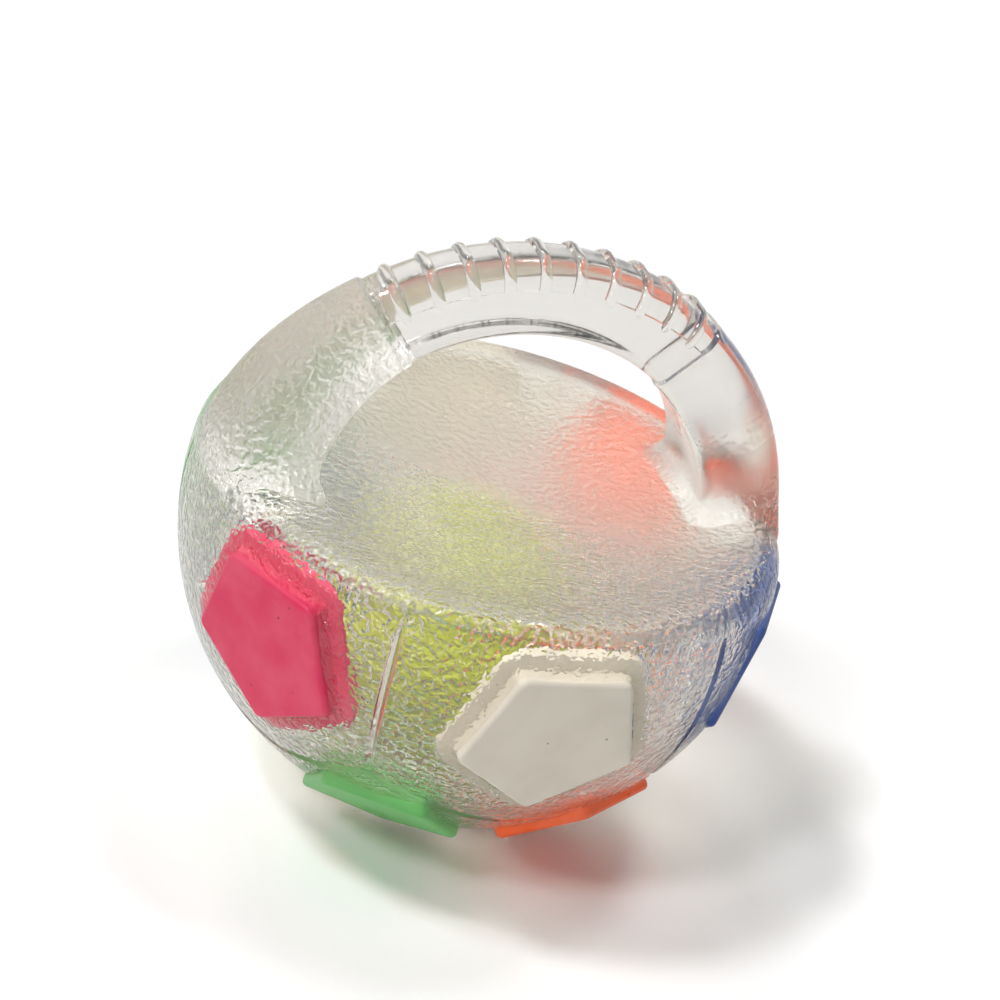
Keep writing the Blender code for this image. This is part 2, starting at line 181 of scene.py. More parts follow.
def merged_copy(name):
    """The frame's node as a connected mesh of quads."""
    bm = bmesh.new()
    bm.from_mesh(frame["nodes"][name].data)
    bmesh.ops.remove_doubles(bm, verts=bm.verts, dist=MERGE)
    limits = {"angle_face_threshold": JOIN_ANGLE, "angle_shape_threshold": math.pi}
    bmesh.ops.join_triangles(bm, faces=bm.faces, **limits)
    return bm


def add_piece(name, bm, look, sharp=40):
    """A finished piece: its mesh keeps its place in the frame, and edges over sharp degrees stay crisp."""
    mesh = bpy.data.meshes.new(name)
    bm.to_mesh(mesh)
    bm.free()
    mesh.shade_smooth()
    mesh.set_sharp_from_angle(angle=math.radians(sharp))
    made = bpy.data.objects.new(name, mesh)
    bpy.context.scene.collection.objects.link(made)
    if look:
        mesh.materials.append(look)
    return made


def felt_finish():
    made, place = new_finish("felt_nap")
    fibres = place.speckle(FIBRE_SCALE, 4.0, 0.65)
    patches = place.speckle(PATCH_SCALE)
    shade = (FIBRE_SHARE * fibres + PATCH_SHARE * patches).between(*SHADE_ENDS)
    place.node(
        "ShaderNodeBsdfPrincipled",
        {},
        {
            "Base Color": shade.mix(FELT_DEEP, FELT_PALE),
            "Roughness": 0.95,
            "Specular IOR Level": 0.2,
            "Sheen Weight": 0.35,
            "Sheen Roughness": 0.5,
            "Normal": fibres.bump(0.8, FIBRE_DEPTH),
        },
    ).surface()
    return made


felt = felt_finish()
for name in ("tennis_felt_a", "tennis_felt_b"):
    bm = merged_copy(name)
    rims = [e for e in bm.edges if e.is_manifold and e.calc_face_angle() > FELT_EDGE_ANGLE]
    bmesh.ops.bevel(
        bm, geom=rims, affect="EDGES", offset=FELT_EDGE, segments=2, profile=0.5, material=-1
    )
    for _ in range(2):
        bmesh.ops.subdivide_edges(bm, edges=bm.edges[:], cuts=1, use_grid_fill=True)
    for vert in bm.verts:
        out = vert.co - TENNIS_CENTRE
        if out.length > TENNIS_R - FELT_EDGE / 2:
            lift = NAP * (noise.noise(out * NAP_SCALE) - 1)
            vert.co = TENNIS_CENTRE + out.normalized() * (TENNIS_R + lift)
    bmesh.ops.recalc_face_normals(bm, faces=bm.faces)
    panel = add_piece(name + "_nap", bm, felt, sharp=180)
    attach(panel, "tennis_ball")
    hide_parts(name)

# Tennis ball seam: a rounded line of white rubber cement, filling the gap between the felt panels.
# It lies a little lower than the nap.
CEMENT_DIRTY = (0.55, 0.56, 0.45, 1)
CEMENT_CLEAN = (0.78, 0.78, 0.70, 1)
DIRT_SCALE = 700.0
DIRT_DEPTH = 0.0002
DIRT_ENDS = (0.3, 0.7)
CEMENT_ROUGH = 0.7
DIRT_ROUGH = 0.15
SEAM_SMOOTHING = 0.4


def cement_finish():
    made, place = new_finish("seam_cement")
    dirt = place.speckle(DIRT_SCALE, 3.0)
    place.node(
        "ShaderNodeBsdfPrincipled",
        {},
        {
            "Base Color": dirt.between(*DIRT_ENDS).mix(CEMENT_DIRTY, CEMENT_CLEAN),
            "Roughness": CEMENT_ROUGH + DIRT_ROUGH * dirt,
            "Normal": dirt.bump(0.5, DIRT_DEPTH),
        },
    ).surface()
    return made


bm = merged_copy("tennis_seam")
bmesh.ops.subdivide_edges(bm, edges=bm.edges[:], cuts=2, use_grid_fill=True)
every_way = {"use_axis_x": True, "use_axis_y": True, "use_axis_z": True}
bmesh.ops.smooth_vert(bm, verts=bm.verts, factor=SEAM_SMOOTHING, **every_way)
bmesh.ops.recalc_face_normals(bm, faces=bm.faces)
seam = add_piece("tennis_seam_line", bm, cement_finish(), sharp=60)
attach(seam, "tennis_ball")
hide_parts("tennis_seam")

# Clear shell: a bowl and a dished lid in clear rubber, welded at the rim until no joint shows.
# It is hollow, smooth inside and grained like leather outside, with a soft roll round the dish.
BALL_R = 0.0750
WALL = 0.0065
JOINT_HEIGHT = 0.0132
DISH_DROP = 0.0032
DISH_WALL = 0.0045
RIM_R = 0.0085
CREST_HEIGHT = 0.0180
DISH_CENTRE = JOINT_HEIGHT - DISH_DROP
RIM_TILT = math.asin((CREST_HEIGHT - RIM_R) / (BALL_R - RIM_R))
RIM_HEIGHT = BALL_R * math.sin(RIM_TILT)
RIM_MIDDLE = ((BALL_R - RIM_R) * math.cos(RIM_TILT), (BALL_R - RIM_R) * math.sin(RIM_TILT))
RIM_RISE = RIM_MIDDLE[1] - DISH_CENTRE
DISH_R = (RIM_MIDDLE[0] ** 2 + RIM_RISE**2 - RIM_R**2) / (2 * (RIM_R + RIM_RISE))
DISH_TILT = math.asin(RIM_MIDDLE[0] / (DISH_R + RIM_R))
TURN_STEPS = 160
DISH_STEPS = 30
ROLL_STEPS = 16
BALL_STEPS = 60
CEILING_STEPS = 24
THROAT_STEPS = 8
WALL_STEPS = 44


def arc(middle, radius, start, end, count):
    """Points on a circle as (radius, height) pairs, from one angle to another."""
    turns = [start + (end - start) * i / count for i in range(count + 1)]
    return [(middle[0] + radius * math.cos(a), middle[1] + radius * math.sin(a)) for a in turns]


def turned(outline):
    """A solid turned from an outline that starts and ends on the ball's upright axis."""
    bm = bmesh.new()
    verts = [bm.verts.new((r, 0, z)) for r, z in outline]
    edges = [bm.edges.new(pair) for pair in zip(verts, verts[1:])]
    full = {"angle": math.tau, "steps": TURN_STEPS, "use_merge": True}
    bmesh.ops.spin(bm, geom=verts + edges, cent=(0, 0, 0), axis=(0, 0, 1), **full)
    bmesh.ops.remove_doubles(bm, verts=bm.verts, dist=MERGE)
    bmesh.ops.recalc_face_normals(bm, faces=bm.faces)
    return bm


def skin(bm, rings, closed=False):
    """Bridges rings of points, each to the next, and closes the two ends with a face."""
    loops = []
    for ring in rings:
        verts = [bm.verts.new(p) for p in ring]
        loops.append([bm.edges.new(pair) for pair in zip(verts, verts[1:] + verts[:1])])
    for here, there in zip(loops, loops[1:]):
        bmesh.ops.bridge_loops(bm, edges=here + there)
    if closed:
        bmesh.ops.bridge_loops(bm, edges=loops[-1] + loops[0])
    else:
        for end in (loops[0], loops[-1]):
            bmesh.ops.edgeloop_fill(bm, edges=end)


def combine(body, tool, operation):
    """Cuts a tool's shape out of a piece, or joins it on, and removes the tool."""
    bmesh.ops.recalc_face_normals(tool, faces=tool.faces)
    helper = add_piece("tool", tool, None)
    step = body.modifiers.new(operation, "BOOLEAN")
    step.operation = operation
    step.solver = "EXACT"
    step.object = helper
    bpy.context.view_layer.update()
    result = bpy.data.meshes.new_from_object(body.evaluated_get(bpy.context.evaluated_depsgraph_get()))
    body.modifiers.clear()
    body.data = result
    bpy.data.objects.remove(helper)


def dish_height(radius):
    return DISH_CENTRE + DISH_R - math.sqrt(DISH_R**2 - radius**2)


def outside_outline():
    """From the middle of the dish over the rolled rim and down to the bottom."""
    low = -math.pi / 2
    dish = arc((0, DISH_CENTRE + DISH_R), DISH_R, low, low + DISH_TILT, DISH_STEPS)
    roll = arc(RIM_MIDDLE, RIM_R, DISH_TILT - low, RIM_TILT, ROLL_STEPS)[1:]
    ball = arc((0, 0), BALL_R, RIM_TILT, low, BALL_STEPS)[1:]
    return [(0, DISH_CENTRE)] + dish[1:] + roll + ball[:-1] + [(0, -BALL_R)]


def hollow_outline():
    """From the dish's underside round its throat and down the inner wall."""
    inner = BALL_R - WALL
    throat_r = DISH_WALL / 2
    reach = math.sqrt(inner**2 - RIM_HEIGHT**2) - throat_r
    ceiling = [reach * i / CEILING_STEPS for i in range(CEILING_STEPS)]
    dish = [(r, dish_height(r) - DISH_WALL) for r in ceiling]
    throat_height = dish_height(reach) - DISH_WALL - throat_r
    throat = arc((reach, throat_height), throat_r, math.pi / 2, 0, THROAT_STEPS)[:-1]
    wall = arc((0, 0), inner, math.asin(throat_height / inner), -math.pi / 2, WALL_STEPS)
    return dish + throat + wall[:-1] + [(0, -inner)]


shell = add_piece("grained_clear_shell", turned(outside_outline()), None)

# Plug windows: stepped pentagon holes through the shell, with a rounded lip at the skin.
# Each ends in a groove behind the skin, where a plug's flange snaps in.
FLANGE_HEIGHT = 0.0672
FLANGE_THICK = 0.0016
GAP = 0.0003
BOND = 0.00005
FLANGE_GROWTH = {"belt": 0.0034, "low": 0.0012}
PLUG_R = {"belt": 0.0230, "low": 0.0215}
PLUG_CORNER = 0.0026
CORNER_STEPS = 5
SIDE_CUTS = 7
WINDOW_LIP = 0.0006
LIP_STEPS = 4
SNUG = 0.00006
LEDGE_SLOPE = 0.00003
BELT = {
    "plug_belt_front_white": "white",
    "plug_belt_front_left_pink": "pink",
    "plug_belt_front_right_blue": "blue",
    "plug_belt_back_left_green": "green",
    "plug_belt_back_right_orange": "orange",
    "plug_belt_back_white": "white",
}
LOW = {
    "plug_low_front_left_green": "green",
    "plug_low_front_right_orange": "orange",
    "plug_low_back_left_blue": "blue",
    "plug_low_back_right_pink": "pink",
    "plug_bottom_white": "white",
}


def pentagon(radius, corner):
    """A pentagon's outline, one corner down, with round corners and sides cut short enough to bend."""
    bm = bmesh.new()
    bmesh.ops.create_circle(bm, cap_ends=True, segments=5, radius=radius)
    bmesh.ops.rotate(bm, verts=bm.verts, cent=(0, 0, 0), matrix=Matrix.Rotation(math.pi, 3, "Z"))
    tangent = corner * math.tan(math.pi / 5)
    soft = {"affect": "VERTICES", "segments": CORNER_STEPS, "profile": 0.5, "material": -1}
    bmesh.ops.bevel(bm, geom=bm.verts[:], offset=tangent, **soft)
    sides = [e for e in bm.edges if e.calc_length() > radius / 2]
    bmesh.ops.subdivide_edges(bm, edges=sides, cuts=SIDE_CUTS)
    bm.faces.ensure_lookup_table()
    outline = [v.co.copy() for v in bm.faces[0].verts]
    bm.free()
    return outline


def grown(radius, by):
    """The corner radius of a pentagon whose sides have moved out."""
    return radius + by / math.cos(math.pi / 5)


def facing(out):
    """Turns local +Z outwards along a direction, with local +Y towards the rim."""
    east = Vector((0, 0, 1)).cross(out)
    east = east.normalized() if east.length > 0.01 else Vector((1, 0, 0))
    return Matrix((east, out.cross(east), out)).transposed().to_4x4()


def plug_way(name):
    """A plug's direction: from the middle of the ball through the middle of its own corners."""
    corners = {tuple(round(c, 5) for c in v.co) for v in frame["nodes"][name].data.vertices}
    middle = sum((Vector(c) for c in corners), Vector()) / len(corners)
    return (middle - BALL_CENTRE).normalized()


def dome(outline, ball_r):
    """Lifts a flat outline on to a ball."""
    return [Vector((p.x, p.y, math.sqrt(ball_r**2 - p.x**2 - p.y**2))) for p in outline]


def flat(outline, height):
    return [Vector((p.x, p.y, height)) for p in outline]


def window(row, place):
    """The stepped hole for one plug, with a rounded lip at the skin."""
    narrow = grown(PLUG_R[row], SNUG)
    wide = grown(PLUG_R[row], FLANGE_GROWTH[row] + GAP)
    opening = pentagon(narrow, PLUG_CORNER + SNUG)
    seat = pentagon(wide, PLUG_CORNER + FLANGE_GROWTH[row] + GAP)
    ledge = FLANGE_HEIGHT + GAP
    back = FLANGE_HEIGHT - FLANGE_THICK + BOND
    rings = [flat(seat, back), flat(seat, ledge), flat(opening, ledge + LEDGE_SLOPE)]
    for k in range(LIP_STEPS + 1):
        turn = math.pi / 2 * k / LIP_STEPS
        lip = WINDOW_LIP * (1 - math.cos(turn))
        rise = BALL_R - WINDOW_LIP * (1 - math.sin(turn))
        rings.append(dome(pentagon(grown(narrow, lip), PLUG_CORNER + SNUG + lip), rise))
    rings.append(flat(pentagon(grown(narrow, WINDOW_LIP * 2), PLUG_CORNER + SNUG), BALL_R + WALL))
    bm = bmesh.new()
    skin(bm, [[place @ p for p in ring] for ring in rings])
    return bm


for row, names in (("belt", BELT), ("low", LOW)):
    for name in names:
        combine(shell, window(row, facing(plug_way(name))), "DIFFERENCE")
combine(shell, turned(hollow_outline()), "DIFFERENCE")

# Panel grooves: narrow V-shaped channels moulded into the skin, smooth inside.
# One zigzags round the ball under the belt of plugs, and others rise between the plugs to the rim.
GROOVE_HALF_WIDTH = 0.0012
GROOVE_DEPTH = 0.0014
GROOVE_LIP = 0.0003
GROOVE_HALF = ((0, -1.0), (0.2, -0.92), (0.78, -0.22), (1.0, -0.06))
GROOVE_TIP = 0.35
ZIGZAG_STEPS = 6
RISER_STEPS = 20
CLEAR_OF_SKIN = 0.00002
SEAM_TOP = math.radians(9.0)
SEAM_NODE = math.radians(-27.0)
SEAM_DIP = math.radians(-38.0)
FRONT_SEAM = math.radians(32.5)


def on_ball(azimuth, latitude):
    """The direction of a place on the ball; azimuth 0 is the front."""
    ring = math.cos(latitude)
    return Vector((math.sin(azimuth) * ring, -math.cos(azimuth) * ring, math.sin(latitude)))


def groove_ring(out, along, share=1.0):
    """One section of a groove: a round bottom and lips that roll over on to the skin."""
    side = along.cross(out).normalized()
    shape = [(x * GROOVE_HALF_WIDTH * share, y * GROOVE_DEPTH * share) for x, y in GROOVE_HALF]
    shape.append((shape[-1][0] + GROOVE_LIP, CLEAR_OF_SKIN))
    shape.append((shape[-1][0], GROOVE_DEPTH))
    loop = shape + [(-x, y) for x, y in shape[:0:-1]]
    return [out * (BALL_R + y) + side * x for x, y in loop]


def groove(bm, ways, closed=False):
    """A groove's cutter along directions from the middle of the ball; an open one tapers at its far end."""
    rings = []
    last = len(ways) - 1
    for i, out in enumerate(ways):
        before = ways[i - 1] if i or closed else out
        after = ways[(i + 1) % len(ways)] if i < last or closed else out
        rings.append(groove_ring(out, after - before))
    if not closed:
        rings[-1] = groove_ring(ways[-1], ways[-1] - ways[-2], GROOVE_TIP)
    skin(bm, rings, closed)


plug_turns = sorted(math.atan2(w.x, -w.y) for w in map(plug_way, BELT))
seam_turns = [(a + b) / 2 for a, b in zip(plug_turns, plug_turns[1:])]
seam_turns = [math.copysign(FRONT_SEAM, a) if abs(a) < FRONT_SEAM else a for a in seam_turns]
seam_turns.append((plug_turns[-1] + plug_turns[0]) / 2 + math.pi)
knots = [(a, SEAM_NODE) for a in seam_turns] + [(a, SEAM_DIP) for a in plug_turns]
knots = [on_ball(a, b) for a, b in sorted((math.remainder(a, math.tau), b) for a, b in knots)]
shares = [i / ZIGZAG_STEPS for i in range(ZIGZAG_STEPS)]
zigzag = [a.lerp(b, i).normalized() for a, b in zip(knots, knots[1:] + knots[:1]) for i in shares]
tools = bmesh.new()
groove(tools, zigzag, closed=True)
combine(shell, tools, "DIFFERENCE")
tools = bmesh.new()
risers = [SEAM_NODE + (SEAM_TOP - SEAM_NODE) * i / RISER_STEPS for i in range(RISER_STEPS + 1)]
for azimuth in seam_turns:
    groove(tools, [on_ball(azimuth, latitude) for latitude in risers])
combine(shell, tools, "DIFFERENCE")

# Handle: an arch moulded with the lid, in the same clear rubber, with splayed feet that run into the dish.
# The grip is polished and stepped in a little, with half-round ribs across its back.
HANDLE_THICK = 0.0200
HANDLE_RISE = 0.0025
HANDLE_INNER_RISE = 0.0030
HANDLE_INNER_R = BALL_R + HANDLE_RISE - HANDLE_INNER_RISE - HANDLE_THICK
HANDLE_SINK = 0.00006
GRIP_HALF_WIDTH = 0.0090
GRIP_HALF_ANGLE = math.radians(36)
GRIP_STEP = 0.0005
GRIP_STEP_ANGLE = math.radians(0.8)
FOOT_HALF_WIDTH = 0.0185
FOOT_SPLAY = 1.3
FOOT_SINK = 0.0024
FOOT_FILLET = 0.0105
FILLET_SHARE = 0.24
FILLET_SINK = 0.06
FILLET_SWEEP = 0.88
OUTER_ROUND = 0.0060
SHOULDER = 0.0004
INNER_ROUND = 0.0034
FOOT_ROUND = 0.0080
RIB_COUNT = 10
RIB_PITCH = math.radians(6.9)
RIB_R = 0.0016
RIB_HOOK = 0.0018
RIB_SINK = 0.25
RIB_TIP = 0.6
RIB_TAPER = 3
RIB_SIDES = 16
GRIP_STEPS = 24
FOOT_STEPS = 32
FOOT_CROWDING = 1.5
OUTER_STEPS = 8
INNER_STEPS = 7
FLAT_STEPS = 4
FOOT_ANGLE = math.acos(RIM_HEIGHT / BALL_R)
FOOT_INNER_ANGLE = math.acos((dish_height(HANDLE_INNER_R) - FOOT_SINK) / HANDLE_INNER_R)


def handle_ring(turn):
    """The handle's section at an angle from the top: narrow in the grip, splayed and filleted at the foot."""
    share = abs(turn) / FOOT_ANGLE
    splay = max(0, (abs(turn) - GRIP_HALF_ANGLE) / (FOOT_ANGLE - GRIP_HALF_ANGLE))
    swept = min(1, max(0, (splay - 1 + FILLET_SHARE) / (FILLET_SHARE - FILLET_SINK)))
    flare = 1 - math.sqrt(1 - (FILLET_SWEEP * swept) ** 2)
    step = GRIP_STEP * min(1, max(0, (GRIP_HALF_ANGLE - abs(turn)) / GRIP_STEP_ANGLE))
    half = GRIP_HALF_WIDTH + GRIP_STEP - step
    half += (FOOT_HALF_WIDTH - half) * splay**FOOT_SPLAY + FOOT_FILLET * flare
    outer = BALL_R - HANDLE_SINK + HANDLE_RISE * (1 - splay**3) - step
    inner_turn = math.copysign(share * FOOT_INNER_ANGLE, turn)
    reach = math.sqrt(HANDLE_INNER_R**2 - (HANDLE_INNER_RISE * math.sin(inner_turn)) ** 2)
    inner = HANDLE_INNER_RISE * math.cos(inner_turn) + reach + step - FOOT_FILLET * flare
    ledge = SHOULDER * step / GRIP_STEP
    width = half - OUTER_ROUND - ledge
    soft = INNER_ROUND + FOOT_ROUND * flare
    below = half - soft
    quarter = math.pi / 2
    corners = arc((width, outer - OUTER_ROUND), OUTER_ROUND, quarter, 0, OUTER_STEPS)
    corners.append((half, outer - OUTER_ROUND - SHOULDER / 2))
    corners += arc((below, inner + soft), soft, 0, -quarter, INNER_STEPS)
    half_loop = [(width * i / FLAT_STEPS, outer) for i in range(FLAT_STEPS)] + corners
    half_loop += [(below * i / FLAT_STEPS, inner) for i in range(FLAT_STEPS - 1, 0, -1)]
    loop = half_loop + [(0, inner)] + [(-y, r) for y, r in half_loop[:0:-1]]
    inward = Vector((math.sin(inner_turn), 0, math.cos(inner_turn)))
    outward = Vector((math.sin(turn), 0, math.cos(turn)))
    points = []
    for y, r in loop:
        ray = inward.lerp(outward, (r - inner) / (outer - inner)).normalized()
        points.append(ray * math.sqrt(r * r - y * y) + Vector((0, y, 0)))
    return points


def handle_turns():
    """The angles of the handle's sections, closer together at the grip's step and at the feet."""
    inside = [(GRIP_HALF_ANGLE - GRIP_STEP_ANGLE) * i / GRIP_STEPS for i in range(GRIP_STEPS + 1)]
    edge = [GRIP_HALF_ANGLE - GRIP_STEP_ANGLE * i / 3 for i in (2, 1)]
    crowded = [(1 - i / FOOT_STEPS) ** FOOT_CROWDING for i in range(FOOT_STEPS + 1)]
    outside = [FOOT_ANGLE - (FOOT_ANGLE - GRIP_HALF_ANGLE) * share for share in crowded]
    half = inside + edge + outside
    return [-a for a in half[:0:-1]] + half


def rib(bm, turn):
    """A half-round bar across the grip's back that hooks over both of the grip's shoulders."""
    height = BALL_R - HANDLE_SINK + HANDLE_RISE - GRIP_STEP
    seat = Matrix.Rotation(turn, 4, "Y")
    reach = GRIP_HALF_WIDTH - OUTER_ROUND - SHOULDER
    path = [(reach * i / 3, height, 0.0) for i in range(3)]
    for degrees in range(0, 91, 10):
        a = math.radians(degrees)
        drop = OUTER_ROUND * (1 - math.cos(a)) + GRIP_HALF_WIDTH**2 / BALL_R / 2 * math.sin(a)
        path.append((reach + OUTER_ROUND * math.sin(a), height - drop, a))
    for _ in range(2):
        path.append((path[-1][0], path[-1][1] - RIB_HOOK / 2, math.pi / 2))
    path = [(-y, z, -a) for y, z, a in path[:0:-1]] + path
    rings = []
    for i, (y, z, a) in enumerate(path):
        fade = min(1, (min(i, len(path) - 1 - i) + RIB_TIP) / RIB_TAPER)
        radius = RIB_R * math.sqrt(fade * (2 - fade))
        rise = Vector((0, math.sin(a), math.cos(a)))
        middle = Vector((0, y, z)) - rise * RIB_R * RIB_SINK
        across = Vector((1, 0, 0))
        turns = [math.tau * k / RIB_SIDES for k in range(RIB_SIDES)]
        rings.append([seat @ (middle + radius * (across * math.cos(t) + rise * math.sin(t))) for t in turns])
    skin(bm, rings)


tools = bmesh.new()
skin(tools, [handle_ring(turn) for turn in handle_turns()])
combine(shell, tools, "UNION")
tools = bmesh.new()
for i in range(RIB_COUNT):
    rib(tools, (i - (RIB_COUNT - 1) / 2) * RIB_PITCH)
combine(shell, tools, "UNION")

# Shell rubber: clear and faintly warm, moulded with a leather grain on the skin, the dish and the left foot.
# The grip is polished, the right foot smooth and hazy, the dish worn at its back right and frosted below.
# Most pairs of numbers here are where a soft edge starts and ends, in metres or in radians.
THIN_CLOUDED = (0.87, 0.85, 0.78, 1)
THIN_CLEAR = (0.95, 0.93, 0.865, 1)
THICK_GRIP = (0.79, 0.77, 0.73, 1)
CLOUD_SCALE = 60.0
GRAIN_SCALE = 560.0
GRAIN_DEPTH = 0.00052
GRAIN_ENDS = (0.34, 0.66)
SKIN_ROUGH = 0.11
CLOUD_ROUGH = 0.06
UNDERSIDE_ROUGH = 0.30
LEFT_FOOT_ROUGH = 0.18
RIGHT_FOOT_ROUGH = 0.34
WORN_ROUGH = 0.26
GRIP_POLISH = 0.05
ON_SKIN = (BALL_R - 0.0004, BALL_R - 0.0001)
NEAR_SKIN = (BALL_R - 0.0046, BALL_R - 0.0036)
DISH_SKIN = (-0.0028, -0.0018)
DISH_UNDERSIDE = (-0.0056, -0.0051)
RIM_SHARE = 0.5
ABOVE_RIM = (RIM_HEIGHT - 0.0005, RIM_HEIGHT + 0.0005)
HANDLE_INSIDE = (HANDLE_INNER_R - 0.006, HANDLE_INNER_R - 0.004)
HANDLE_BESIDE = (0.0240, 0.0260)
HANDLE_ROOT = (0.0004, 0.0030)
LEFT_FOOT = (GRIP_HALF_ANGLE - 0.02, GRIP_HALF_ANGLE + 0.01)
RIGHT_HAZE = (math.radians(47), math.radians(73))
RIGHT_GRAIN = (math.radians(63), math.radians(75))
WORN_WAY = (0.6, 0.8)
WORN_EDGE = (-0.030, 0.022)
WORN_SHARE = 0.5
SECOND_WALL = (1.4, 1.6)
NEAR_WALL = (0.72, 0.71, 0.69, 1)
FAR_WALL = (0.24, 0.24, 0.235, 1)
SHELL_SHARP = math.radians(38)


def grain_worms(place):
    """Short crooked worms with round backs, about two millimetres apart."""
    return place.speckle(GRAIN_SCALE, 1.0, 0.45).between(*GRAIN_ENDS)


def shell_zones(place):
    """How far each place is grained, how far it is polished, and how much rougher it is than the skin."""
    across = place.part("X")
    height = place.part("Z")
    away = place.length()
    level = place.node("ShaderNodeVectorMath", {"operation": "MULTIPLY"}, {0: place, 1: (1, 1, 0)})
    flat_r = level.length()
    over_dish = height - DISH_CENTRE - 0.5 / DISH_R * flat_r * flat_r
    above_dish = over_dish.between(*DISH_SKIN)
    near_skin = away.between(*NEAR_SKIN)
    on_skin = away.between(*ON_SKIN)
    underside = over_dish.between(*DISH_UNDERSIDE) * (1 - above_dish) * (1 - RIM_SHARE * near_skin)
    lid = place.maths("MAXIMUM", height.between(*ABOVE_RIM), above_dish)
    on_lid = place.maths("MAXIMUM", above_dish, near_skin)
    turn = place.maths("ARCTAN2", across, height)
    left_foot = (-1 * turn).between(*LEFT_FOOT)
    hazy = place.maths("MAXIMUM", turn.between(*RIGHT_HAZE), left_foot)
    grained_foot = place.maths("MAXIMUM", turn.between(*RIGHT_GRAIN), left_foot)
    beside = abs(place.part("Y")).between(*HANDLE_BESIDE)
    handle = away.between(*HANDLE_INSIDE) * (1 - beside) * over_dish.between(*HANDLE_ROOT)
    grip = handle * (1 - hazy)
    right_foot = handle * (1 - left_foot) * hazy
    back_right = WORN_WAY[0] * across + WORN_WAY[1] * place.part("Y")
    worn = above_dish * (1 - near_skin) * back_right.between(*WORN_EDGE)
    lid_grain = on_lid * lid * (1 - handle * (1 - grained_foot)) * (1 - WORN_SHARE * worn)
    grained = on_skin * (1 - lid) + lid_grain
    haze = UNDERSIDE_ROUGH * underside + LEFT_FOOT_ROUGH * handle * left_foot
    haze = haze + RIGHT_FOOT_ROUGH * right_foot + WORN_ROUGH * worn * (1 - handle)
    return grained, grip, haze


def clear_rubber():
    """Bends what is behind it; lamps reach through it, and lose most of their light at the second wall."""
    made, place = new_finish("clear_rubber")
    grained, grip, haze = shell_zones(place)
    cloud = place.speckle(CLOUD_SCALE, 3.0)
    thin = cloud.mix(THIN_CLOUDED, THIN_CLEAR)
    body = place.node(
        "ShaderNodeBsdfPrincipled",
        {},
        {
            "Base Color": grip.mix(thin, THICK_GRIP),
            "Roughness": SKIN_ROUGH + haze - GRIP_POLISH * grip + CLOUD_ROUGH * cloud,
            "IOR": 1.46,
            "Transmission Weight": 0.985,
            "Normal": (grain_worms(place) * grained).bump(1.0, GRAIN_DEPTH),
        },
    )
    near_wall = place.node("ShaderNodeBsdfTransparent", {}, {"Color": NEAR_WALL})
    far_wall = place.node("ShaderNodeBsdfTransparent", {}, {"Color": FAR_WALL})
    second = place.node("ShaderNodeLightPath", {}, {}, "Transparent Depth").between(*SECOND_WALL)
    shadow = place.node("ShaderNodeLightPath", {}, {}, "Is Shadow Ray")
    lit = place.node("ShaderNodeMixShader", {}, {0: shadow * second, 1: near_wall, 2: far_wall})
    place.node("ShaderNodeMixShader", {}, {0: shadow, 1: body, 2: lit}).surface()
    return made


shell.data.transform(Matrix.Translation(BALL_CENTRE))
shell.data.shade_smooth()
shell.data.set_sharp_from_angle(angle=SHELL_SHARP)
shell.data.materials.clear()
shell.data.materials.append(clear_rubber())
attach(shell, "shell")
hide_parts("clear_bowl", "clear_lid_with_handle")

# Pentagon plugs: moulded in coloured translucent rubber, with a flat raised face and a wide flange.
# Each is pushed through its window from inside until the flange snaps into the groove behind the skin.
FACE_HEIGHT = {"belt": 0.0735, "low": 0.0750}
FACE_ROUND = 0.0013
FACE_STEPS = 6
FLANGE_ROUND = 0.0002
FLANGE_STEPS = 3
CLOUDY_SCALE = 90.0
CLOUDY_ENDS = (0.3, 0.7)
DEEP_SHARE = 0.95
PALE_SHARE = 0.05
PLUG_ROUGH = 0.40
CLOUDY_ROUGH = 0.12
TOOTH_SCALE = 2600.0
TOOTH_DEPTH = 0.00012
DUST_SCALE = 130.0
DUST_EDGE = (0.035, 0.050)
DUST_SHADE = 0.35
LAMP_SHARE = 0.25
PLUG_COLOUR = {
    "white": (0.70, 0.645, 0.55),
    "pink": (0.68, 0.026, 0.10),
    "blue": (0.024, 0.066, 0.26),
    "green": (0.14, 0.48, 0.13),
    "orange": (0.86, 0.12, 0.025),
}


def plug_finish(colour):
    """Coloured rubber, a little cloudy, with a fine moulded tooth and a few dark specks of dust."""
    made, place = new_finish(colour + "_plug_rubber")
    deep = Vector(PLUG_COLOUR[colour])
    pale = deep.lerp(Vector((1, 1, 1)), PALE_SHARE)
    cloud = place.speckle(CLOUDY_SCALE, 3.0).between(*CLOUDY_ENDS)
    tooth = place.speckle(TOOTH_SCALE)
    dust = place.node("ShaderNodeTexVoronoi", {}, {"Vector": place, "Scale": DUST_SCALE}, "Distance")
    clean = dust.between(*DUST_EDGE)
    tint = cloud.mix((*(deep * DEEP_SHARE), 1), (*pale, 1))
    body = place.node(
        "ShaderNodeBsdfPrincipled",
        {},
        {
            "Base Color": clean.mix((*(deep * DUST_SHADE), 1), tint),
            "Roughness": PLUG_ROUGH + CLOUDY_ROUGH * cloud,
            "IOR": 1.45,
            "Specular IOR Level": 0.25,
            "Transmission Weight": 0.12,
            "Normal": tooth.bump(0.25, TOOTH_DEPTH),
        },
    )
    glow = deep.lerp(Vector((1, 1, 1)), LAMP_SHARE)
    lit = place.node("ShaderNodeBsdfTransparent", {}, {"Color": (*glow, 1)})
    shadow = place.node("ShaderNodeLightPath", {}, {}, "Is Shadow Ray")
    place.node("ShaderNodeMixShader", {}, {0: shadow, 1: body, 2: lit}).surface()
    return made


